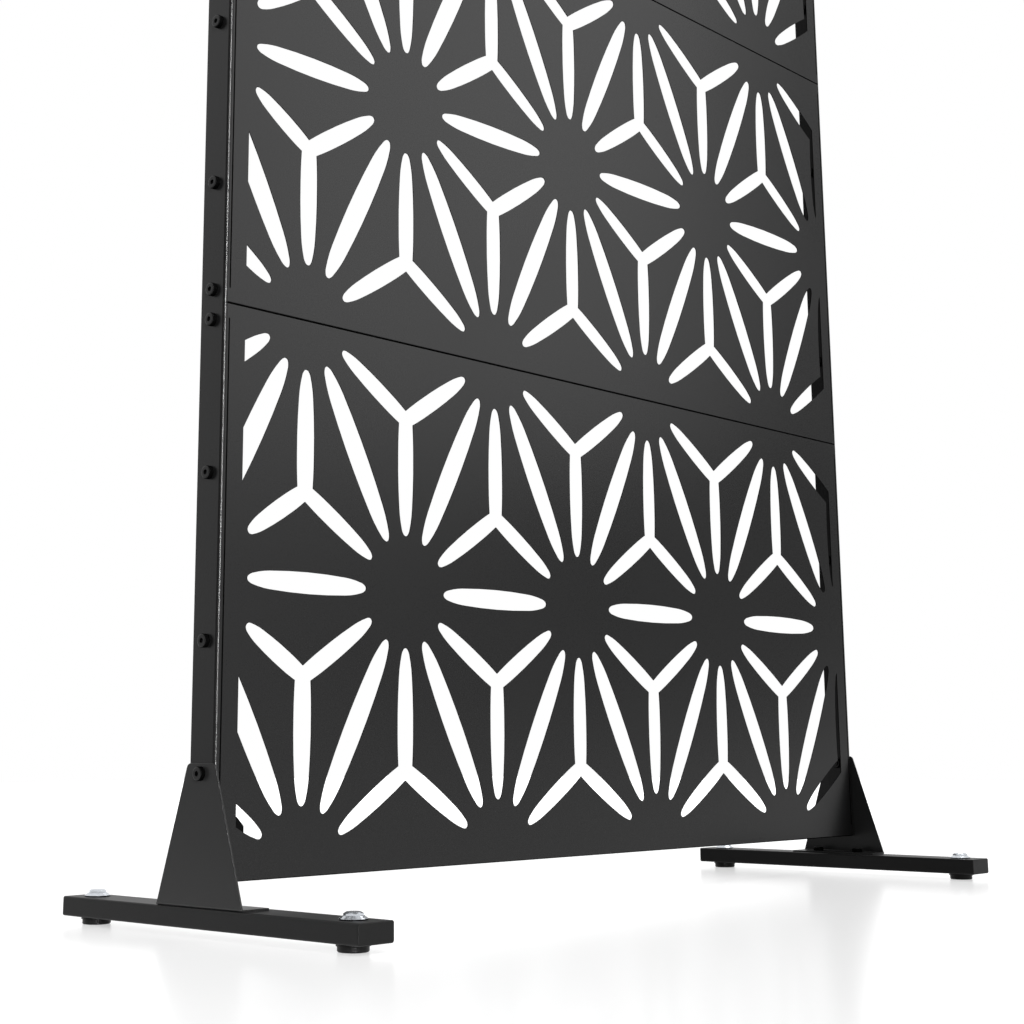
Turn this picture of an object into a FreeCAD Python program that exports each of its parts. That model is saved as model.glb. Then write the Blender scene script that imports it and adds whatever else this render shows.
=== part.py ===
"""Freestanding sheet-metal screen: three stacked lattice panels on two levelled base bars.

Millimetres, +Z up. The origin is on the floor, midway between the two base bars.
+X runs along the screen to the right and +Y points to its back.
"""
import FreeCAD
import Part
import math
import os

V = FreeCAD.Vector

# Overall sizes of the screen
screen_width = 1200.0
panel_height = 580.0
panel_depth = 38.0
base_length = 450.0
floor_gap = 24.0
cut_overrun = 1.0

# Folded sheet of the lattice panels
panel_sheet = 1.2
side_fold_radius = 4.0
level_fold_radius = 1.6
crease_inset = 6.5
crease_width = 1.9
crease_depth = 0.9
crease_end_gap = 16.0
flange_notch_gap = 1.0
notch_front_gap = 1.0

# Hemp-leaf lattice cut through each panel
pattern_pitch = 303.0
pattern_offset = -31.0
pattern_margin = 28.0
lower_pattern_lift = 8.0
hub_radius = 61.0
slot_level_width = 22.8
slot_upright_width = 28.4
slot_fullness_share = 0.84
slot_turn_shares = (-0.05, 0.05, 0.14, 0.3, 0.7, 0.86, 0.95, 1.05, 1.14, 1.3, 1.7, 1.86)
leaf_hub_radius = 62.0
leaf_level_width = 19.4
leaf_upright_width = 25.0
leaf_root_share = 0.9
leaf_widest_share = 0.3
leaf_fullness_share = 0.78
leaf_turn_shares = (-0.5, -0.3, -0.14, -0.05, 0.05, 0.14, 0.3, 0.5)
tip_clearance = 9.0
tip_overreach = 22.0
tip_slope_share = 0.5

# Flat-bar posts inside the side flanges
post_thickness = 4.0
post_depth = 28.0
post_end_gap = 4.0

# Button-head socket bolts and hexagon nuts
bolt_diameter = 8.0
bolt_hole_diameter = 8.4
bolt_head_diameter = 14.0
bolt_head_height = 5.4
bolt_head_round = 1.6
bolt_socket_flats = 5.0
bolt_socket_depth = 2.8
bolt_end_length = 2.0
nut_flats = 13.0
nut_height = 6.5
nut_corner_diameter = 14.4
nut_chamfer_height = 1.0
thread_gap = 0.1

# Heights of the side bolts above the foot of their panel
end_bolt_inset = 16.0
lower_bolt_heights = (234.0, 404.0)
upper_bolt_heights = (132.0, 312.0, 438.0)
bracket_bolt_height = 104.0

# Bolts that hold each panel to the next one
joint_bolt_spacing = 400.0
joint_bolt_diameter = 6.0
joint_hole_diameter = 6.6
joint_head_diameter = 10.5
joint_head_height = 3.3
joint_head_round = 2.0
joint_socket_flats = 4.0
joint_socket_depth = 2.0
joint_nut_flats = 10.0
joint_nut_height = 5.0
joint_nut_corner_diameter = 11.0

# Folded brackets between the posts and the base bars
bracket_sheet = 2.0
bracket_bend_radius = 3.0
bracket_top_width = 42.0
bracket_bottom_width = 132.0
bracket_height = 138.0
bracket_corner_radius = 6.0
bracket_edge_radius = 0.7
bracket_foot_width = 34.0
bracket_foot_spacing = 64.0
insert_diameter = 11.0
insert_length = 12.0

# Angles that back up the lower corners of the lowest panel
angle_sheet = 2.0
angle_face_width = 34.0
angle_side_width = 24.0
angle_height = 62.0
angle_chamfer = 9.0

# Rectangular tubes of the base and their end plugs
bar_width = 45.0
bar_height = 20.0
bar_wall = 1.5
bar_corner_radius = 2.5
cap_thickness = 3.0
cap_edge_round = 1.2
cap_plug_length = 14.0
cap_plug_wall = 2.0
cap_fit_gap = 0.1

# Levelling feet
foot_inset = 30.0
pad_diameter = 32.0
pad_height = 7.6
pad_gap = 0.4
pad_edge_round = 1.8
pad_lip_width = 1.2
pad_lip_height = 2.2
collar_diameter = 17.0
collar_height = 1.8
collar_gap = 0.3
stem_diameter = 8.0
stem_length = 3.6
turn_gap = 0.1
stud_diameter = 10.0
stud_chamfer = 1.0
stud_hole_diameter = 11.0
weld_nut_flats = 16.0
weld_nut_height = 8.0
lock_nut_flange_diameter = 27.0
lock_nut_flange_height = 1.2
lock_nut_cone_height = 2.6
lock_nut_flats = 17.0
lock_nut_height = 7.2
lock_nut_chamfer = 1.8
lock_nut_roof = 1.6

# Levels worked out from the sizes above
pad_seat_level = pad_height + pad_gap
bar_bottom = pad_seat_level
bar_top = bar_bottom + bar_height
screen_bottom = bar_top + floor_gap
half_width = screen_width / 2
pattern_row = panel_height / 2
front_face = -panel_depth / 2
rear_edge = panel_depth / 2
bracket_face = half_width + bracket_sheet
bar_centre = bracket_face - bar_width / 2
foot_place = base_length / 2 - foot_inset
panel_names = ("lower_panel", "middle_panel", "upper_panel")
sides = {"left": -1, "right": 1}
ends = {"front": -1, "rear": 1}


def save(node, shape):
    """Write one node, a solid or a group of separate solids."""
    shape.exportStep("parts/" + node + ".step")


def box(low, high):
    """Box between two opposite corners, in any order."""
    corner = V(min(low[0], high[0]), min(low[1], high[1]), min(low[2], high[2]))
    size = [abs(b - a) for a, b in zip(low, high)]
    return Part.makeBox(size[0], size[1], size[2], corner)


def mirrored(shape, side):
    """The shape as modelled for the right side, or its mirror image for the left."""
    if side > 0:
        return shape
    return shape.mirror(V(0, 0, 0), V(1, 0, 0))


def revolved(points, centre):
    """Solid of revolution about a vertical axis, from (radius, height) points."""
    ring = [V(r, 0, z) for r, z in points]
    face = Part.Face(Part.makePolygon(ring + ring[:1]))
    solid = face.revolve(V(0, 0, 0), V(0, 0, 1), 360)
    solid.translate(centre)
    return solid


def hexagon(flats, height):
    """Upright hexagonal prism standing on the origin."""
    radius = flats / math.sqrt(3)
    corners = [V(radius * math.cos(math.pi * k / 3), radius * math.sin(math.pi * k / 3), 0) for k in range(6)]
    return Part.Face(Part.makePolygon(corners + corners[:1])).extrude(V(0, 0, height))


def button_bolt(diameter, grip, end, head, socket):
    """Socket bolt along Z: the head stands on z = 0 and the shank hangs below it."""
    head_diameter, head_height, head_round = head
    flats, depth = socket
    cap = Part.makeCylinder(head_diameter / 2, head_height)
    rim = [e for e in cap.Edges if e.BoundBox.ZMin > head_height / 2 and e.Closed]
    cap = cap.makeFillet(head_round, rim)
    recess = hexagon(flats, depth + cut_overrun)
    recess.translate(V(0, 0, head_height - depth))
    shank = Part.makeCylinder(diameter / 2, grip + end, V(0, 0, -grip - end))
    return cap.cut(recess).fuse(shank).removeSplitter()


def plain_nut(flats, height, corner_diameter, chamfer, bore):
    """Hexagon nut standing on z = 0, its corners turned down at both ends."""
    outer = corner_diameter / 2
    inner = flats / 2 * math.cos(math.pi / 12)
    turned = revolved([(0, 0), (inner, 0), (outer, chamfer), (outer, height - chamfer), (inner, height),
                       (0, height)], V(0, 0, 0))
    nut = hexagon(flats, height).common(turned)
    return nut.cut(Part.makeCylinder(bore / 2 + thread_gap, height))


def aimed(shape, place, direction):
    """Turn a shape modelled along +Z so that it points along direction, then put it in place."""
    turned = shape.copy()
    turned.Placement = FreeCAD.Placement(place, FreeCAD.Rotation(V(0, 0, 1), direction))
    return turned


# Hemp-leaf slots, drawn on the face of a panel as (across, up) points

def slot_wire(points_by_arc):
    """Closed wire of arcs, each through three (across, up) points, on the plane of the face."""
    edges = []
    for trio in points_by_arc:
        start, middle, finish = [V(x, 0, z) for x, z in trio]
        edges.append(Part.Arc(start, middle, finish).toShape())
    return Part.Wire(edges)


def drawn_back(tip, slope):
    """How much shorter a slot is made whose tip would only just run into the plain margin."""
    over = abs(tip) + tip_clearance - (half_width - pattern_margin)
    if abs(slope) < tip_slope_share or over < 0 or over > tip_overreach:
        return 0
    return over / abs(slope)


def superellipse(turn, fullness_share):
    """Point at this turn on a superellipse of unit size, as (along, across)."""
    cosine, sine = math.cos(turn), math.sin(turn)
    along = math.copysign(abs(cosine) ** fullness_share, cosine)
    across = math.copysign(abs(sine) ** fullness_share, sine)
    return along, across


def width_at(rise, level_width, upright_width):
    """Width of a slot whose line climbs by this part of its length: the steeper, the wider."""
    return level_width + (upright_width - level_width) * rise * rise


def arcs_through(at, turns):
    """Arcs between following turns, each as the three points that it runs through."""
    return [(at(a), at((a + b) / 2), at(b)) for a, b in zip(turns, turns[1:])]


def spindle(start, finish):
    """Slot with full flanks and round tips, from one hub's rim to the next one's."""
    dx, dz = finish[0] - start[0], finish[1] - start[1]
    span = math.hypot(dx, dz)
    ux, uz = dx / span, dz / span
    low, high = hub_radius, span - hub_radius
    low += drawn_back(start[0] + ux * low, ux)
    high -= drawn_back(start[0] + ux * high, ux)
    half = width_at(uz, slot_level_width, slot_upright_width) / 2

    def at(turn):
        far, wide = superellipse(turn, slot_fullness_share)
        along = (low + high) / 2 + (high - low) / 2 * far
        across = half * wide
        return (start[0] + ux * along - uz * across, start[1] + uz * along + ux * across)

    turns = [math.pi * share for share in slot_turn_shares]
    return slot_wire(arcs_through(at, turns + [turns[0] + 2 * math.pi]))


def leaf(centre, hubs):
    """Three-armed slot: an arm with bowed flanks and a round tip towards each of three hubs."""
    arms = []
    for hub in hubs:
        dx, dz = hub[0] - centre[0], hub[1] - centre[1]
        span = math.hypot(dx, dz)
        length = span - leaf_hub_radius
        length -= drawn_back(centre[0] + dx / span * length, dx / span)
        half = width_at(dz / span, leaf_level_width, leaf_upright_width) / 2
        arms.append((math.atan2(dz, dx), length, half))
    arms.sort()
    left_roots, right_roots = [], []
    for k, (angle, _, half) in enumerate(arms):
        next_angle, _, next_half = arms[(k + 1) % len(arms)]
        root, next_root = half * leaf_root_share, next_half * leaf_root_share
        opening = (next_angle - angle) % (2 * math.pi)
        left_roots.append((root * math.cos(opening) + next_root) / math.sin(opening))
        right_roots.append((root + next_root * math.cos(opening)) / math.sin(opening))
    turns = [math.pi * share for share in leaf_turn_shares]
    trios = []
    for k, (angle, length, half) in enumerate(arms):
        ux, uz = math.cos(angle), math.sin(angle)
        widest = length * leaf_widest_share
        root = half * leaf_root_share
        flank = half - (half - root) / 4

        def at(along, across):
            return (centre[0] + ux * along - uz * across, centre[1] + uz * along + ux * across)

        def at_tip(turn):
            far, wide = superellipse(turn, leaf_fullness_share)
            return at(widest + (length - widest) * far, half * wide)

        before, after = right_roots[k - 1], left_roots[k]
        trios.append((at(before, -root), at((before + widest) / 2, -flank), at_tip(turns[0])))
        trios.extend(arcs_through(at_tip, turns))
        trios.append((at_tip(turns[-1]), at((after + widest) / 2, flank), at(after, root)))
    return slot_wire(trios)


def lattice_wires(centre_height):
    """All slots of one panel: spindles along the lattice lines and a leaf in every triangle."""
    window = half_width - pattern_margin
    steps = range(-3, 4)

    def middle_hub(k):
        return (pattern_offset + k * pattern_pitch, centre_height)

    def edge_hub(k, up):
        return (pattern_offset + (k + 0.5) * pattern_pitch, centre_height + up * pattern_row)

    wires = [spindle(middle_hub(k), middle_hub(k + 1)) for k in steps]
    for up in (-1, 1):
        for k in steps:
            wires.append(spindle(middle_hub(k), edge_hub(k, up)))
            wires.append(spindle(middle_hub(k), edge_hub(k - 1, up)))
            near = (middle_hub(k)[0] + pattern_pitch / 2, centre_height + up * pattern_row / 3)
            far = (middle_hub(k)[0], centre_height + up * pattern_row * 2 / 3)
            wires.append(leaf(near, (middle_hub(k), middle_hub(k + 1), edge_hub(k, up))))
            wires.append(leaf(far, (middle_hub(k), edge_hub(k - 1, up), edge_hub(k, up))))
    return [w for w in wires if w.BoundBox.XMax > -window and w.BoundBox.XMin < window]


def lattice_cutter(centre_height):
    """Prisms of all slots, kept inside the plain margins at the sides of the panel."""
    window = half_width - pattern_margin
    start = front_face - cut_overrun
    depth = panel_sheet + 2 * cut_overrun
    frame = box((-window, start, centre_height - panel_height), (window, start + depth,
                                                               centre_height + panel_height))
    prisms = []
    for wire in lattice_wires(centre_height):
        prism = Part.Face(wire).extrude(V(0, depth, 0))
        prism.translate(V(0, start, 0))
        bounds = prism.BoundBox
        if bounds.XMin < -window or bounds.XMax > window:
            prism = prism.common(frame)
        prisms.extend(prism.Solids)
    return Part.Compound(prisms)


def folded_block(low, high, side_radius, level_radius):
    """Box with rounded front edges: one radius for the two upright ones, one for the two level ones."""
    block = box(low, high)
    front = [e for e in block.Edges if e.BoundBox.YMax < low[1] + panel_sheet]
    upright = [e for e in front if e.BoundBox.ZLength > panel_depth]
    level = [e for e in front if e.BoundBox.XLength > panel_depth]
    return block.makeFillet(side_radius, upright).common(block.makeFillet(level_radius, level))


def side_bolt_heights(index):
    """Heights above the floor of the bolts in one side flange of a panel, bracket bolt left out."""
    foot = screen_bottom + index * panel_height
    if index == 0:
        return [foot + h for h in lower_bolt_heights] + [foot + panel_height - end_bolt_inset]
    inner = [foot + h for h in upper_bolt_heights]
    return [foot + end_bolt_inset] + inner + [foot + panel_height - end_bolt_inset]


def all_bolt_heights():
    """Side bolts of all three panels, from the floor up."""
    return [h for index in range(len(panel_names)) for h in side_bolt_heights(index)]


bracket_bolt_level = screen_bottom + bracket_bolt_height


def joint_bolt_places():
    """Places across the screen of the bolts between two panels."""
    return [k * joint_bolt_spacing for k in (-1, 0, 1)]


def panel(index):
    """Tray folded from sheet: lattice face, two side flanges, and top and bottom flanges."""
    foot = screen_bottom + index * panel_height
    top = foot + panel_height
    outside = folded_block((-half_width, front_face, foot), (half_width, rear_edge, top),
                           side_fold_radius, level_fold_radius)
    inside = folded_block((panel_sheet - half_width, front_face + panel_sheet, foot + panel_sheet),
                          (half_width - panel_sheet, rear_edge + cut_overrun, top - panel_sheet),
                          side_fold_radius - panel_sheet, level_fold_radius - panel_sheet)
    tray = outside.cut(inside)
    cutters = []
    notch = half_width - panel_sheet - post_thickness - flange_notch_gap
    for side in sides.values():
        for low, high in ((foot - cut_overrun, foot + panel_sheet), (top - panel_sheet, top + cut_overrun)):
            cutters.append(box((side * notch, -post_depth / 2 - notch_front_gap, low),
                               (side * (half_width - panel_sheet), rear_edge + cut_overrun, high)))
        crease = side * (half_width - crease_inset)
        cutters.append(box((crease - crease_width / 2, front_face - cut_overrun, foot + crease_end_gap),
                           (crease + crease_width / 2, front_face + crease_depth, top - crease_end_gap)))
        heights = side_bolt_heights(index)
        if index == 0:
            heights = heights + [bracket_bolt_level]
        for height in heights:
            cutters.append(Part.makeCylinder(bolt_hole_diameter / 2, panel_sheet + 2 * cut_overrun,
                                             V(side * (half_width + cut_overrun), 0, height), V(-side, 0, 0)))
    for place in joint_bolt_places():
        levels = [top] if index == 0 else [foot, top]
        for level in levels:
            cutters.append(Part.makeCylinder(joint_hole_diameter / 2, 2 * (panel_sheet + cut_overrun),
                                             V(place, 0, level - panel_sheet - cut_overrun)))
    centre_height = foot + panel_height / 2
    if index == 0:
        centre_height += lower_pattern_lift
    tray = tray.cut(Part.Compound(cutters))
    return tray.cut(lattice_cutter(centre_height))


def post(side):
    """Flat steel bar inside the side flanges, over the height of all three panels."""
    inner = half_width - panel_sheet
    low = screen_bottom + post_end_gap
    high = screen_bottom + len(panel_names) * panel_height - post_end_gap
    bar = box((side * inner, -post_depth / 2, low), (side * (inner - post_thickness), post_depth / 2, high))
    holes = [Part.makeCylinder(bolt_hole_diameter / 2, post_thickness + 2 * cut_overrun,
                               V(side * (inner + cut_overrun), 0, height), V(-side, 0, 0))
             for height in all_bolt_heights() + [bracket_bolt_level]]
    return bar.cut(Part.Compound(holes))


def side_bolts(side, heights, seat):
    """Socket bolts with their heads on the outside, at a seat this far from the middle."""
    grip = seat - half_width + panel_sheet + post_thickness + nut_height
    bolt = button_bolt(bolt_diameter, grip, bolt_end_length,
                       (bolt_head_diameter, bolt_head_height, bolt_head_round),
                       (bolt_socket_flats, bolt_socket_depth))
    return Part.Compound([aimed(bolt, V(side * seat, 0, h), V(side, 0, 0)) for h in heights])


def side_nuts(side, heights):
    """Nuts against the inner face of the post."""
    nut = plain_nut(nut_flats, nut_height, nut_corner_diameter, nut_chamfer_height, bolt_diameter)
    seat = half_width - panel_sheet - post_thickness
    return Part.Compound([aimed(nut, V(side * seat, 0, h), V(-side, 0, 0)) for h in heights])


def joint_fasteners(index):
    """Bolts and nuts through the flanges between this panel and the one above it."""
    level = screen_bottom + (index + 1) * panel_height
    bolt = button_bolt(joint_bolt_diameter, 2 * panel_sheet + joint_nut_height, bolt_end_length,
                       (joint_head_diameter, joint_head_height, joint_head_round),
                       (joint_socket_flats, joint_socket_depth))
    nut = plain_nut(joint_nut_flats, joint_nut_height, joint_nut_corner_diameter, nut_chamfer_height,
                    joint_bolt_diameter)
    places = joint_bolt_places()
    bolts = [aimed(bolt, V(x, 0, level + panel_sheet), V(0, 0, 1)) for x in places]
    nuts = [aimed(nut, V(x, 0, level - panel_sheet), V(0, 0, -1)) for x in places]
    return Part.Compound(bolts), Part.Compound(nuts)


def bracket_foot_places():
    """Places along the base bar of the bolts in the foot of a bracket."""
    return [-bracket_foot_spacing / 2, bracket_foot_spacing / 2]


foot_bolt_line = bracket_face - bracket_foot_width / 2 - bracket_sheet / 2


def bracket(side):
    """Trapezium plate against the side flange, its lower edge folded in to lie on the base bar."""
    top = bar_top + bracket_height
    low, high = bracket_bottom_width / 2, bracket_top_width / 2
    outline = [V(half_width, -low, bar_top), V(half_width, low, bar_top), V(half_width, high, top),
               V(half_width, -high, top)]
    plate = Part.Face(Part.makePolygon(outline + outline[:1])).extrude(V(bracket_sheet, 0, 0))
    corners = [e for e in plate.Edges
               if e.BoundBox.ZMin > top - bracket_sheet and e.BoundBox.YLength < bracket_sheet]
    plate = plate.makeFillet(bracket_corner_radius, corners)
    foot = box((bracket_face - bracket_foot_width, -low, bar_top),
               (bracket_face, low, bar_top + bracket_sheet))
    folded = plate.fuse(foot).removeSplitter()
    long_edges = [e for e in folded.Edges if e.BoundBox.YLength > low]
    heel = [e for e in long_edges if e.BoundBox.ZMax < bar_top + bracket_sheet / 2
            and e.BoundBox.XMin > bracket_face - bracket_sheet / 2]
    folded = folded.makeFillet(bracket_bend_radius, heel)
    long_edges = [e for e in folded.Edges if e.BoundBox.YLength > low]
    throat = [e for e in long_edges if e.BoundBox.ZMin > bar_top + bracket_sheet / 2
              and abs(e.BoundBox.XMin - half_width) + abs(e.BoundBox.XMax - half_width) < bracket_sheet / 2]
    folded = folded.makeFillet(bracket_bend_radius - bracket_sheet, throat)
    eased = [e for e in folded.Edges if e.BoundBox.XMin > bracket_face - bracket_edge_radius / 2
             and e.BoundBox.ZMax > bar_top + 2 * bracket_bend_radius]
    folded = folded.makeFillet(bracket_edge_radius, eased)
    holes = [Part.makeCylinder(bolt_hole_diameter / 2, bracket_sheet + 2 * cut_overrun,
                               V(half_width - cut_overrun, 0, bracket_bolt_level), V(1, 0, 0))]
    for place in bracket_foot_places():
        holes.append(Part.makeCylinder(bolt_hole_diameter / 2, bracket_sheet + 2 * cut_overrun,
                                       V(foot_bolt_line, place, bar_top - cut_overrun)))
    return mirrored(folded.cut(Part.Compound(holes)), side)


def bracket_foot_bolts(side):
    """Socket bolts through the foot of a bracket into the inserts of the base bar."""
    bolt = button_bolt(bolt_diameter, bracket_sheet + insert_length, 0,
                       (bolt_head_diameter, bolt_head_height, bolt_head_round),
                       (bolt_socket_flats, bolt_socket_depth))
    return Part.Compound([aimed(bolt, V(side * foot_bolt_line, y, bar_top + bracket_sheet), V(0, 0, 1))
                          for y in bracket_foot_places()])


def bracket_foot_inserts(side):
    """Threaded inserts set flush into the top wall of the base bar."""
    sleeves = []
    for place in bracket_foot_places():
        seat = V(side * foot_bolt_line, place, bar_top - insert_length)
        sleeve = Part.makeCylinder(insert_diameter / 2, insert_length, seat)
        sleeves.append(sleeve.cut(Part.makeCylinder(bolt_diameter / 2 + thread_gap, insert_length, seat)))
    return Part.Compound(sleeves)


def corner_angle(side):
    """Welded angle in a lower corner: one leg behind the lattice face, one along the post."""
    outer = half_width - panel_sheet - post_thickness
    back = front_face + panel_sheet
    low = screen_bottom + side_fold_radius
    high = screen_bottom + angle_height
    inner = outer - angle_face_width
    outline = [V(outer, back, low), V(inner, back, low), V(inner, back, high - angle_chamfer),
               V(inner + angle_chamfer, back, high), V(outer, back, high)]
    face_leg = Part.Face(Part.makePolygon(outline + outline[:1])).extrude(V(0, angle_sheet, 0))
    side_leg = box((outer - angle_sheet, back, low), (outer, back + angle_side_width, high))
    return mirrored(face_leg.fuse(side_leg).removeSplitter(), side)


def rounded_bar(width, height, length, radius):
    """Bar along Y, centred on the Z axis and standing on z = 0, with rounded long edges."""
    bar = box((-width / 2, -length / 2, 0), (width / 2, length / 2, height))
    long_edges = [e for e in bar.Edges if e.BoundBox.YLength > length / 2]
    return bar.makeFillet(radius, long_edges)


def base_bar(side):
    """Rectangular tube along the floor, with holes for the feet and the bracket inserts."""
    length = base_length - 2 * cap_thickness
    tube = rounded_bar(bar_width, bar_height, length, bar_corner_radius)
    hollow = rounded_bar(bar_width - 2 * bar_wall, bar_height - 2 * bar_wall, length + 2 * cut_overrun,
                         bar_corner_radius - bar_wall)
    hollow.translate(V(0, 0, bar_wall))
    tube = tube.cut(hollow)
    tube.translate(V(side * bar_centre, 0, bar_bottom))
    holes = [Part.makeCylinder(stud_hole_diameter / 2, bar_height + 2 * cut_overrun,
                               V(side * bar_centre, end * foot_place, bar_bottom - cut_overrun))
             for end in ends.values()]
    for place in bracket_foot_places():
        holes.append(Part.makeCylinder(insert_diameter / 2, bar_wall + 2 * cut_overrun,
                                       V(side * foot_bolt_line, place, bar_top - bar_wall - cut_overrun)))
    return tube.cut(Part.Compound(holes))


def bar_cap(side, end):
    """Plastic plug that closes one end of a base bar."""
    plate = rounded_bar(bar_width, bar_height, cap_thickness, bar_corner_radius)
    plate.translate(V(0, base_length / 2 - cap_thickness / 2, 0))
    rim = [e for e in plate.Edges if e.BoundBox.YMin > base_length / 2 - cap_thickness / 2]
    plate = plate.makeFillet(cap_edge_round, rim)
    plug_width = bar_width - 2 * (bar_wall + cap_fit_gap)
    plug_height = bar_height - 2 * (bar_wall + cap_fit_gap)
    plug = rounded_bar(plug_width, plug_height, cap_plug_length, bar_corner_radius - bar_wall)
    core = rounded_bar(plug_width - 2 * cap_plug_wall, plug_height - 2 * cap_plug_wall,
                       cap_plug_length, bar_corner_radius - bar_wall)
    core.translate(V(0, 0, cap_plug_wall))
    plug = plug.cut(core)
    plug.translate(V(0, base_length / 2 - cap_thickness - cap_plug_length / 2, bar_wall + cap_fit_gap))
    cap = plate.fuse(plug).removeSplitter()
    if end < 0:
        cap = cap.mirror(V(0, 0, 0), V(0, 1, 0))
    cap.translate(V(side * bar_centre, 0, bar_bottom))
    return cap


collar_level = pad_height - collar_height


def foot_pad(place):
    """Round moulded pad with a rounded tread edge, a lip, and a socket for the foot of the stud."""
    radius = pad_diameter / 2
    waist = radius - pad_lip_width
    lip_level = pad_height - pad_lip_height
    profile = [(0, 0), (waist, 0), (waist, lip_level), (radius, lip_level), (radius, pad_height),
               (0, pad_height)]
    pad = revolved(profile, V(0, 0, 0))
    tread = [e for e in pad.Edges if e.Closed and e.BoundBox.ZMax < pad_edge_round / 2
             and e.BoundBox.XMax > waist / 2]
    pad = pad.makeFillet(pad_edge_round, tread)
    recess = Part.makeCylinder(collar_diameter / 2 + collar_gap, collar_height + collar_gap + cut_overrun,
                               V(0, 0, collar_level - collar_gap))
    socket = Part.makeCylinder(stem_diameter / 2 + turn_gap, stem_length + collar_gap,
                               V(0, 0, collar_level - stem_length - collar_gap))
    pad = pad.cut(recess).cut(socket)
    pad.translate(place)
    return pad


def foot_stud(place):
    """Threaded stud that turns in the pad on its stem and stands on its collar."""
    thread = stud_diameter / 2 - turn_gap
    top = bar_top + lock_nut_height - lock_nut_roof - stud_chamfer
    stem = stem_diameter / 2
    collar = collar_diameter / 2
    bottom = collar_level - stem_length
    return revolved([(0, bottom), (stem, bottom), (stem, collar_level), (collar, collar_level),
                     (collar, pad_height), (thread, pad_height), (thread, top - stud_chamfer),
                     (thread - stud_chamfer, top), (0, top)], place)


def foot_weld_nut(place):
    """Nut welded inside the tube over the stud's hole in the bottom wall."""
    nut = hexagon(weld_nut_flats, weld_nut_height)
    nut = nut.cut(Part.makeCylinder(stud_diameter / 2, weld_nut_height))
    nut.translate(place + V(0, 0, bar_bottom + bar_wall))
    return nut


def foot_lock_nut(place):
    """Closed hexagon flange nut that locks the stud on the top of the bar."""
    flange = lock_nut_flange_diameter / 2
    hub = lock_nut_flats / math.sqrt(3)
    cone_top = lock_nut_flange_height + lock_nut_cone_height
    skirt = revolved([(0, 0), (flange, 0), (flange, lock_nut_flange_height), (hub, cone_top), (0, cone_top)],
                     V(0, 0, 0))
    rim = lock_nut_flats / 2 - lock_nut_chamfer
    crown = revolved([(0, 0), (hub, 0), (hub, lock_nut_height - lock_nut_chamfer), (rim, lock_nut_height),
                      (0, lock_nut_height)], V(0, 0, 0))
    nut = skirt.fuse(hexagon(lock_nut_flats, lock_nut_height).common(crown)).removeSplitter()
    nut = nut.cut(Part.makeCylinder(stud_diameter / 2, lock_nut_height - lock_nut_roof))
    nut.translate(place + V(0, 0, bar_top))
    return nut


os.makedirs("parts", exist_ok=True)

for number, name in enumerate(panel_names):
    save(name, panel(number))

for number, name in enumerate(("lower", "upper")):
    joint_bolts, joint_nuts = joint_fasteners(number)
    save(name + "_joint_bolts", joint_bolts)
    save(name + "_joint_nuts", joint_nuts)

for word, side in sides.items():
    save(word + "_post", post(side))
    save(word + "_post_bolts", side_bolts(side, all_bolt_heights(), half_width))
    save(word + "_post_nuts", side_nuts(side, all_bolt_heights()))
    save(word + "_bracket", bracket(side))
    save(word + "_bracket_bolt", side_bolts(side, [bracket_bolt_level], bracket_face))
    save(word + "_bracket_nut", side_nuts(side, [bracket_bolt_level]))
    save(word + "_bracket_foot_bolts", bracket_foot_bolts(side))
    save(word + "_bracket_foot_inserts", bracket_foot_inserts(side))
    save(word + "_corner_angle", corner_angle(side))
    save(word + "_base_bar", base_bar(side))
    for end_word, end in ends.items():
        corner = word + "_" + end_word
        place = V(side * bar_centre, end * foot_place, 0)
        save(corner + "_end_cap", bar_cap(side, end))
        save(corner + "_foot_pad", foot_pad(place))
        save(corner + "_foot_stud", foot_stud(place))
        save(corner + "_foot_weld_nut", foot_weld_nut(place))
        save(corner + "_foot_lock_nut", foot_lock_nut(place))
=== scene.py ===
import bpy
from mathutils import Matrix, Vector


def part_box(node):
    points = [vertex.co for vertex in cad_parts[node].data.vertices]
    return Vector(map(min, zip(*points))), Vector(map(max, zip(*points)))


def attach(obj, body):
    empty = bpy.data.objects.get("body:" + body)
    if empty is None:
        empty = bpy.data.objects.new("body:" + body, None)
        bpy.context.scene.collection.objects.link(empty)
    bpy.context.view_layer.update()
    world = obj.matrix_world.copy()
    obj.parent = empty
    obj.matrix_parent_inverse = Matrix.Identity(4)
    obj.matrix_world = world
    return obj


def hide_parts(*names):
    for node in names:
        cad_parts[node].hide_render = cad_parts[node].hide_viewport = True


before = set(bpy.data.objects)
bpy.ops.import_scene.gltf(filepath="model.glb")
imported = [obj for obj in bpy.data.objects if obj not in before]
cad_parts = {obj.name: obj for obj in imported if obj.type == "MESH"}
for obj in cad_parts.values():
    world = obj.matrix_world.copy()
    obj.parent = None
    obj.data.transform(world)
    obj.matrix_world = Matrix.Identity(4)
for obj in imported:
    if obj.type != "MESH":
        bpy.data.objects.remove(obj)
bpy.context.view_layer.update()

import math

import bpy
import numpy as np
from mathutils import Matrix, Vector


# Base bars. Each is a length of rectangular steel tube with rounded long edges, powder coated black.
# They lie across the screen near the floor, carry the brackets and hold the levelling feet.

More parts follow.
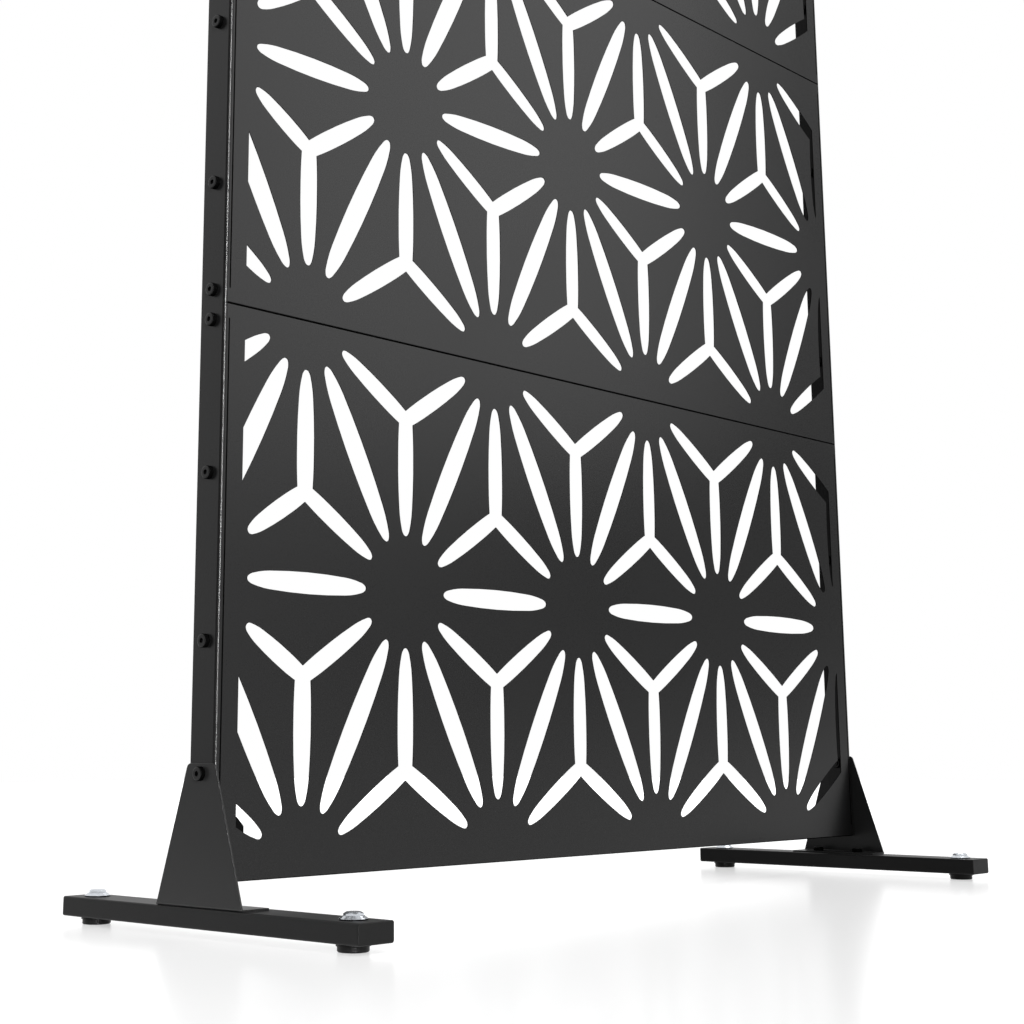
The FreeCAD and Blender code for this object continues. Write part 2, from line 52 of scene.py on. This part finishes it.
class Shade:
    """A shader socket as a number: + - * add Math nodes, and node() adds any other node."""

    def __init__(self, tree, socket):
        self.tree = tree
        self.socket = socket

    def feed(self, target, value):
        if isinstance(value, Shade):
            self.tree.links.new(value.socket, target)
        else:
            target.default_value = value

    def node(self, kind, settings, inputs, output=0):
        made = self.tree.nodes.new(kind)
        for key, value in settings.items():
            if key == "stops":
                ramp = made.color_ramp.elements
                while len(ramp) < len(value):
                    ramp.new(1.0)
                for stop, (where, level) in zip(ramp, value):
                    stop.position = where
                    stop.color = (level, level, level, 1.0)
            else:
                setattr(made, key, value)
        for key, value in inputs.items():
            self.feed(made.inputs[key], value)
        return Shade(self.tree, made.outputs[output])

    def maths(self, operation, first, second):
        return self.node("ShaderNodeMath", {"operation": operation}, {0: first, 1: second})

    def __add__(self, other):
        return self.maths("ADD", self, other)

    __radd__ = __add__

    def __mul__(self, other):
        return self.maths("MULTIPLY", self, other)

    __rmul__ = __mul__

    def __sub__(self, other):
        return self.maths("SUBTRACT", self, other)

    def __rsub__(self, other):
        return self.maths("SUBTRACT", other, self)


def blank_finish(name):
    """New material, its surface shader and the Object coordinates that its patterns read."""
    finish = bpy.data.materials.new(name)
    finish.use_nodes = True
    tree = finish.node_tree
    place = Shade(tree, tree.nodes.new("ShaderNodeTexCoord").outputs["Object"])
    return finish, tree.nodes["Principled BSDF"], place


def noise(place, scale, detail, distortion=0.0):
    """Soft random pattern with scale periods to the metre."""
    return place.node("ShaderNodeTexNoise", {}, {"Vector": place, "Scale": scale, "Detail": detail,
                                                 "Distortion": distortion})


def cells(place, scale, feature):
    """Distance from the nearest of scattered points, scale of them to the metre."""
    return place.node("ShaderNodeTexVoronoi", {"feature": feature}, {"Vector": place, "Scale": scale})


def colour_mix(place, factor, first, second):
    """Colour that goes from first to second as factor goes from 0 to 1."""
    return place.node("ShaderNodeMix", {"data_type": "RGBA"}, {0: factor, 6: first, 7: second}, 2)


def two_tone(place, factor, tone, darker, lighter):
    """Colour that goes from tone times darker to tone times lighter as factor goes from 0 to 1."""
    dark = [part * darker for part in tone] + [1.0]
    light = [min(part * lighter, 1.0) for part in tone] + [1.0]
    return colour_mix(place, factor, dark, light)


def relief(place, shader, strength, depth, height):
    """Fine relief as bump: height from 0 to 1 stands for depth in metres."""
    bump = place.node("ShaderNodeBump", {}, {"Strength": strength, "Distance": depth, "Height": height})
    place.feed(shader.inputs["Normal"], bump)


def paint_shade_where(place, shader, share, tone):
    """Paints shade: puts a dull dark tone in place of the shader's surface where share is 1, and leaves it
    where share is 0.
    """
    dull = place.node("ShaderNodeBsdfDiffuse", {}, {"Color": (tone, tone, tone, 1.0)})
    surface = Shade(place.tree, shader.outputs[0])
    mixed = place.node("ShaderNodeMixShader", {}, {0: share, 1: surface, 2: dull})
    place.feed(place.tree.nodes["Material Output"].inputs["Surface"], mixed)


def powder_coat(name, tone, gloss, specular, peel, recess=None):
    """Baked powder: a slow drift of tone, grain in the gloss, faint specks, and orange peel as bump.
    Where recess gives 1 there is only a dull black tone, painted shade in the recesses."""
    speck_stops = [(0.02, 1.0), (0.06, 0.0)]
    speck_share, grain_share, drift_share, peel_grain = 0.2, 0.12, 0.10, 0.35
    # The second number here is the tone of the painted shade in recesses.
    peel_depth, recess_shade_tone = 0.0004, 0.002
    finish, shader, place = blank_finish(name)
    drift = noise(place, 3.0, 3.0)
    grain = noise(place, 1400.0, 2.0)
    waves = noise(place, 380.0, 1.0)
    speck = place.node("ShaderNodeValToRGB", {"stops": speck_stops}, {"Fac": cells(place, 160.0, "F1")})
    shade = two_tone(place, drift + speck_share * speck, tone, 0.88, 1.12)
    place.feed(shader.inputs["Base Color"], shade)
    place.feed(shader.inputs["Roughness"], gloss + grain_share * (grain - 0.5) + drift_share * (drift - 0.5))
    relief(place, shader, peel, peel_depth, waves + peel_grain * grain)
    shader.inputs["Specular IOR Level"].default_value = specular
    # Painted shade in the recesses that the mask marks.
    if recess:
        paint_shade_where(place, shader, recess(place), recess_shade_tone)
    return finish


def dress(nodes, finish):
    """Gives the CAD solids of these names their finish."""
    for node in nodes:
        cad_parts[node].material_slots[0].material = finish


sides = ("left", "right")
bar_coat = powder_coat("bar_coat", (0.0135, 0.0135, 0.0136), 0.42, 0.12, 0.10)
dress([side + "_base_bar" for side in sides], bar_coat)


# End plugs. Moulded black plastic caps pushed into the open ends of the bars,
# with rounded face edges and the fine spark-eroded texture of their mould.

def moulded_plastic(name, tone, gloss, texture_scale):
    """Moulded plastic: an even tone with faint flow marks and a fine pitted texture as bump."""
    flow_share, pit_share = 0.15, 0.08
    pit_strength, pit_depth = 0.12, 0.0002
    finish, shader, place = blank_finish(name)
    flow = noise(place, 60.0, 4.0, 1.2)
    pits = cells(place, texture_scale, "SMOOTH_F1")
    place.feed(shader.inputs["Base Color"], two_tone(place, flow, tone, 0.85, 1.2))
    place.feed(shader.inputs["Roughness"], gloss + flow_share * (flow - 0.5) + pit_share * pits)
    relief(place, shader, pit_strength, pit_depth, pits)
    shader.inputs["Specular IOR Level"].default_value = 0.15
    return finish


corners = [side + "_" + end for side in sides for end in ("front", "rear")]
cap_plastic = moulded_plastic("cap_plastic", (0.008, 0.008, 0.008), 0.36, 1900.0)
dress([corner + "_end_cap" for corner in corners], cap_plastic)


# Levelling feet. A moulded pad turns on the stem of a zinc-plated M10 stud, which screws through a nut
# welded inside the bar; a closed flange nut on top of the bar locks it.

def coordinate(place, axis):
    """One coordinate of a point or direction: 0 is across, 1 is deep and 2 is up."""
    return place.node("ShaderNodeSeparateXYZ", {}, {0: place}, axis)


def zinc_plate(name, tone, gloss, shadow_line=None):
    """Bright zinc: cool white metal with a crystalline mottle and fine turning marks in its gloss.
    Below the height shadow_line it holds a dark line, a painted contact shadow."""
    # Tone of the painted contact shadow at the foot.
    painted_shadow_tone = (0.01, 0.01, 0.011, 1.0)
    haze_share, mottle_share = 0.12, 0.05
    turning_strength, turning_depth = 0.03, 0.0002
    finish, shader, place = blank_finish(name)
    mottle = cells(place, 900.0, "SMOOTH_F1")
    haze = noise(place, 220.0, 5.0)
    shade = two_tone(place, 0.6 * haze + 0.4 * mottle, tone, 0.82, 1.08)
    # Painted contact shadow: a dark line along the foot of the part.
    if shadow_line:
        in_painted_shadow = place.maths("LESS_THAN", coordinate(place, 2), shadow_line)
        shade = colour_mix(place, in_painted_shadow, shade, painted_shadow_tone)
    place.feed(shader.inputs["Base Color"], shade)
    place.feed(shader.inputs["Roughness"], gloss + haze_share * (haze - 0.5) + mottle_share * mottle)
    relief(place, shader, turning_strength, turning_depth, haze + 0.5 * mottle)
    shader.inputs["Metallic"].default_value = 1.0
    return finish


def closed_turning(name, radius, height, centre):
    """Closed surface of turned or threaded form. Each row of radius holds the distances from a vertical
    axis at equal angles round it, at the height of that row; a point on the axis closes each end."""
    rows, steps = radius.shape
    angle = np.linspace(0.0, 2.0 * math.pi, steps, endpoint=False)
    points = np.stack([centre[0] + radius * np.cos(angle), centre[1] + radius * np.sin(angle),
                       np.broadcast_to(height[:, None], radius.shape)], axis=-1).reshape(-1, 3)
    ends = np.array([[centre[0], centre[1], height[0]], [centre[0], centre[1], height[-1]]])
    row, step = np.meshgrid(np.arange(rows - 1), np.arange(steps), indexing="ij")
    after = (step + 1) % steps
    walls = np.stack([row * steps + step, row * steps + after, (row + 1) * steps + after,
                      (row + 1) * steps + step], axis=-1).reshape(-1, 4)
    ring, ring_after = np.arange(steps), (np.arange(steps) + 1) % steps
    low = np.stack([np.full(steps, rows * steps), ring_after, ring], axis=-1)
    last = (rows - 1) * steps
    high = np.stack([np.full(steps, rows * steps + 1), last + ring, last + ring_after], axis=-1)
    mesh = bpy.data.meshes.new(name)
    mesh.from_pydata(np.vstack([points, ends]).tolist(), [], walls.tolist() + low.tolist() + high.tolist())
    mesh.polygons.foreach_set("use_smooth", np.ones(len(mesh.polygons), dtype=bool))
    mesh.update()
    piece = bpy.data.objects.new(name, mesh)
    bpy.context.scene.collection.objects.link(piece)
    return piece


thread_pitch = 0.0015
thread_depth = 0.0008
thread_crest = 0.0049
thread_lead_in = 0.0012
thread_rows_per_turn = 12
thread_steps = 48
flank_slope, flank_start = 2.6, 0.3
stem_radius, stem_height, stem_chamfer = 0.0040, 0.0036, 0.0004
collar_height, collar_chamfer = 0.0018, 0.0003
# Height of the painted contact shadow line at the foot of the lock nuts.
shadow_line_height = 0.0011
zinc = zinc_plate("zinc_plate", (0.68, 0.70, 0.735), 0.32)
lock_zinc = zinc_plate("lock_zinc", (0.67, 0.70, 0.74), 0.17,
                       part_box("left_front_foot_lock_nut")[0].z + shadow_line_height)
pad_plastic = moulded_plastic("pad_plastic", (0.010, 0.010, 0.010), 0.36, 1500.0)
dress([corner + "_foot_pad" for corner in corners], pad_plastic)
dress([corner + "_foot_weld_nut" for corner in corners], zinc)
dress([corner + "_foot_lock_nut" for corner in corners], lock_zinc)
for corner in corners:
    low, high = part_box(corner + "_foot_stud")
    axis = (low + high) / 2
    collar = (high.x - low.x) / 2
    seat = low.z + stem_height
    shoulder = seat + collar_height
    turns = np.linspace(shoulder, high.z, int((high.z - shoulder) / thread_pitch * thread_rows_per_turn))
    around = np.linspace(0.0, 1.0, thread_steps, endpoint=False)
    phase = (turns[:, None] / thread_pitch - around) % 1.0
    flank = np.clip(np.abs(phase - 0.5) * flank_slope - flank_start, 0.0, 1.0)
    lead_in = np.clip((high.z - turns) / thread_lead_in, 0.0, 1.0)[:, None]
    thread = thread_crest - thread_depth * np.maximum(flank, 1.0 - lead_in)
    plain = np.array([[low.z, stem_radius - stem_chamfer], [low.z + stem_chamfer, stem_radius],
                      [seat, stem_radius], [seat, collar - collar_chamfer], [seat + collar_chamfer, collar],
                      [shoulder - collar_chamfer, collar], [shoulder, collar - collar_chamfer]])
    radius = np.vstack([np.repeat(plain[:, 1:], thread_steps, axis=1), thread])
    stud = closed_turning(corner + "_threaded_stud", radius, np.concatenate([plain[:, 0], turns]), axis)
    stud.data.materials.append(zinc)
    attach(stud, corner + "_stud")
    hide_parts(corner + "_foot_stud")


# Inserts. Zinc-plated threaded sleeves set into the top walls of the bars,
# which take the bolts of the bracket feet.

dress([side + "_bracket_foot_inserts" for side in sides], zinc)


# Brackets. Trapezium plates cut from 2 mm steel, folded along the foot, powder coated,
# bolted to the screen's side near the top and to the bar through the foot.

bracket_coat = powder_coat("bracket_coat", (0.0125, 0.0125, 0.0126), 0.34, 0.26, 0.08)
dress([side + "_bracket" for side in sides], bracket_coat)


# Corner angles. Small folded steel angles inside the lower corners of the screen. Their coat is a near-black
# tone, painted shade for where they sit inside the trays, so they stay darker than the coated trays.

# Near-black painted shade for the angles inside the trays.
angle_shade_coat = powder_coat("angle_shade_coat", (0.002, 0.002, 0.002), 0.55, 0.04, 0.12)
dress([side + "_corner_angle" for side in sides], angle_shade_coat)


# Lattice panels and posts. Trays folded from thin sheet with the hemp-leaf pattern cut through the face,
# and the flat bars that stand inside their side flanges. All are powder coated in a satin black, with painted
# shade on the cut walls of the slots and in the creases and folds.

def behind_face(place):
    """1 on the cut walls of the slots and in the creases and folds, just behind the face, where painted shade
    goes, and 0 elsewhere.
    """
    half_width, face_back, fold_back = 0.5962, -0.01892, -0.01785
    deep = coordinate(place, 1)
    inside = place.maths("LESS_THAN", place.maths("ABSOLUTE", coordinate(place, 0), 0.0), half_width)
    return inside * place.maths("GREATER_THAN", deep, face_back) * place.maths("LESS_THAN", deep, fold_back)


# Painted shade on the cut walls, creases and folds of the panels and posts.
panel_coat = powder_coat("panel_coat", (0.005, 0.005, 0.0051), 0.29, 0.30, 0.07, behind_face)
dress(["lower_panel", "middle_panel", "upper_panel", "left_post", "right_post"], panel_coat)


# Socket bolts. Steel heads with a hexagon socket, blackened and oiled, and their nuts,
# in the side flanges, the bracket feet and the flanges between the trays.

def black_oxide(name, tone, gloss, axis):
    """Blackened steel: a dark skin with cloudy gloss and faint grain, and painted shade, a dull dark tone, on
    the walls round the axis, which are the faces turned away from it by more than about 40 degrees."""
    # The last two numbers set the painted shade on the walls of the heads and nuts.
    wall_limit, wall_shade_share, wall_shade_tone = 0.75, 0.96, 0.0015
    cloud_share, grain_strength, grain_depth = 0.2, 0.08, 0.0002
    finish, shader, place = blank_finish(name)
    facing = Shade(place.tree, place.tree.nodes.new("ShaderNodeNewGeometry").outputs["Normal"])
    along = place.maths("ABSOLUTE", coordinate(facing, axis), 0.0)
    wall = place.maths("LESS_THAN", along, wall_limit)
    cloud = noise(place, 350.0, 4.0)
    grain = noise(place, 2400.0, 1.0)
    place.feed(shader.inputs["Base Color"], two_tone(place, cloud, tone, 0.7, 1.3))
    place.feed(shader.inputs["Roughness"], gloss + cloud_share * (cloud - 0.5))
    relief(place, shader, grain_strength, grain_depth, grain)
    shader.inputs["Specular IOR Level"].default_value = 0.28
    # Painted shade on the walls of the heads and nuts.
    paint_shade_where(place, shader, wall_shade_share * wall, wall_shade_tone)
    return finish


bolt_tone, bolt_gloss = (0.006, 0.006, 0.0061), 0.34
side_bolt_black = black_oxide("side_bolt_black", bolt_tone, bolt_gloss, 0)
upright_bolt_black = black_oxide("upright_bolt_black", bolt_tone, bolt_gloss, 2)
side_bolt_ends = ("_post_bolts", "_bracket_bolt", "_post_nuts", "_bracket_nut")
upright_bolt_ends = ("_joint_bolts", "_joint_nuts", "_foot_bolts")
dress([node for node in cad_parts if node.endswith(side_bolt_ends)], side_bolt_black)
dress([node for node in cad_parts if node.endswith(upright_bolt_ends)], upright_bolt_black)


# Floor. A wide sheet of white acrylic on the studio floor, which holds a soft shadow and a faint
# blurred reflection of the screen. What the pieces mirror of its far left lies in a flag's shade.

def smooth_step(place, value, start, end, low=0.0, high=1.0):
    """Number that eases from low to high as value goes from start to end."""
    return place.node("ShaderNodeMapRange", {"interpolation_type": "SMOOTHSTEP"},
                      {"Value": value, "From Min": start, "From Max": end, "To Min": low, "To Max": high})


def ray_kinds(tree):
    """1 for what the camera sees itself, and 1 for what is seen in a mirror or through glass."""
    rays = tree.nodes.new("ShaderNodeLightPath").outputs
    return (Shade(tree, rays["Is Camera Ray"]),
            Shade(tree, rays["Is Glossy Ray"]) + Shade(tree, rays["Is Transmission Ray"]))


floor_reach = 7.0
floor_tone = (0.66, 0.66, 0.66, 1.0)
glow_near, glow_far, glow_least, glow_most = 0.8, 3.5, 0.50, 0.95
floor_flag_depth = 0.95
floor_mesh = bpy.data.meshes.new("studio_floor")
floor_mesh.from_pydata([(-floor_reach, -floor_reach, 0.0), (floor_reach, -floor_reach, 0.0),
                        (floor_reach, floor_reach, 0.0), (-floor_reach, floor_reach, 0.0)],
                       [], [(0, 1, 2, 3)])
floor = bpy.data.objects.new("studio_floor", floor_mesh)
bpy.context.scene.collection.objects.link(floor)
acrylic, acrylic_shader, floor_place = blank_finish("white_acrylic")
acrylic_shader.inputs["Base Color"].default_value = floor_tone
acrylic_shader.inputs["Roughness"].default_value = 0.22
acrylic_shader.inputs["Specular IOR Level"].default_value = 0.40
floor_seen, floor_mirrored = ray_kinds(floor_place.tree)
leftward = smooth_step(floor_place, 0.0 - coordinate(floor_place, 0), 0.2, 1.2)
rearward = smooth_step(floor_place, coordinate(floor_place, 1), 0.3, 1.0)
shaded = floor_seen + floor_mirrored * (1.0 - floor_flag_depth * (leftward * rearward))
away = floor_place.node("ShaderNodeVectorMath", {"operation": "LENGTH"}, {0: floor_place}, 1)
strength = smooth_step(floor_place, away, glow_near, glow_far, glow_least, glow_most) * shaded
glow = floor_place.node("ShaderNodeEmission", {}, {"Color": (1.0, 1.0, 1.0, 1.0), "Strength": strength})
lit = floor_place.node("ShaderNodeAddShader", {},
                       {0: Shade(floor_place.tree, acrylic_shader.outputs[0]), 1: glow})
floor_place.feed(acrylic.node_tree.nodes["Material Output"].inputs["Surface"], lit)
floor_mesh.materials.append(acrylic)


# Studio light. A white surround with dark flags at the far left and the front right, a tall strip with
# a grid by the camera that draws a line down the front corner, and soft boxes that the panels mirror.

fill_level, left_flag_depth, right_flag_depth = 0.30, 0.85, 0.72
world = bpy.data.worlds.new("white_surround")
bpy.context.scene.world = world
world.use_nodes = True
air = world.node_tree
sky_seen, sky_mirrored = ray_kinds(air)
heading = Shade(air, air.nodes.new("ShaderNodeTexCoord").outputs["Generated"])
sideways = coordinate(heading, 0)
to_left = smooth_step(heading, 0.0 - sideways, 0.55, 0.83)
to_right = smooth_step(heading, sideways, 0.45, 0.90)
to_front = smooth_step(heading, 0.0 - coordinate(heading, 1), 0.0, 0.45)
surround = 1.0 - left_flag_depth * to_left - right_flag_depth * (to_right * to_front)
fill = (1.0 - sky_seen - sky_mirrored) * (fill_level * surround)
heading.feed(air.nodes["Background"].inputs["Strength"], sky_seen + sky_mirrored * surround + fill)
air.nodes["Background"].inputs["Color"].default_value = (1.0, 1.0, 1.0, 1.0)


def soft_box(name, place, aim, width, height, watts, spread=180.0):
    """Rectangular area lamp at place, turned to aim, its height upright, its light within spread degrees."""
    lamp = bpy.data.lights.new(name, "AREA")
    lamp.shape = "RECTANGLE"
    lamp.size = width
    lamp.size_y = height
    lamp.energy = watts
    lamp.spread = math.radians(spread)
    stand = bpy.data.objects.new(name, lamp)
    stand.location = place
    stand.rotation_mode = "QUATERNION"
    stand.rotation_quaternion = (Vector(aim) - Vector(place)).to_track_quat("-Z", "Y")
    bpy.context.scene.collection.objects.link(stand)


soft_box("camera_strip", place=(-1.75, -1.75, 1.25), aim=(-0.75, 0.0, 0.85),
         width=0.12, height=2.3, watts=12.0, spread=50.0)
soft_box("front_box", place=(-0.7, -1.6, 3.0), aim=(-0.1, 0.0, 1.1),
         width=1.0, height=1.0, watts=30.0)
soft_box("mirrored_box", place=(1.48, -1.85, 1.95), aim=(-0.27, -0.30, 0.95),
         width=1.7, height=2.1, watts=15.5)
soft_box("right_box", place=(2.2, 0.4, 2.9), aim=(0.2, 0.0, 0.7),
         width=1.0, height=1.0, watts=14.0)


# Camera. A short telephoto lens close to the floor at the front left, looking up the screen,
# framed so that the top of the screen is outside the picture.

eye = Vector((-1.7046, -1.3696, 0.1797))
azimuth, rise, roll = math.radians(46.89), math.radians(10.98), math.radians(-0.21)
pixels, focal_pixels, centre_pixel = 1024.0, 1732.87, (449.79, 412.0)
lens = bpy.data.cameras.new("photo_camera")
lens.sensor_width = 36.0
lens.lens = focal_pixels * lens.sensor_width / pixels
lens.shift_x = (pixels / 2 - centre_pixel[0]) / pixels
lens.shift_y = (centre_pixel[1] - pixels / 2) / pixels
lens.clip_end = 60.0
camera = bpy.data.objects.new("photo_camera", lens)
bpy.context.scene.collection.objects.link(camera)
ahead = Vector((math.sin(azimuth) * math.cos(rise), math.cos(azimuth) * math.cos(rise), math.sin(rise)))
turn = ahead.to_track_quat("-Z", "Y").to_matrix() @ Matrix.Rotation(roll, 3, "Z")
camera.matrix_world = Matrix.Translation(eye) @ turn.to_4x4()
bpy.context.scene.camera = camera
bpy.context.scene.view_settings.view_transform = "Standard"
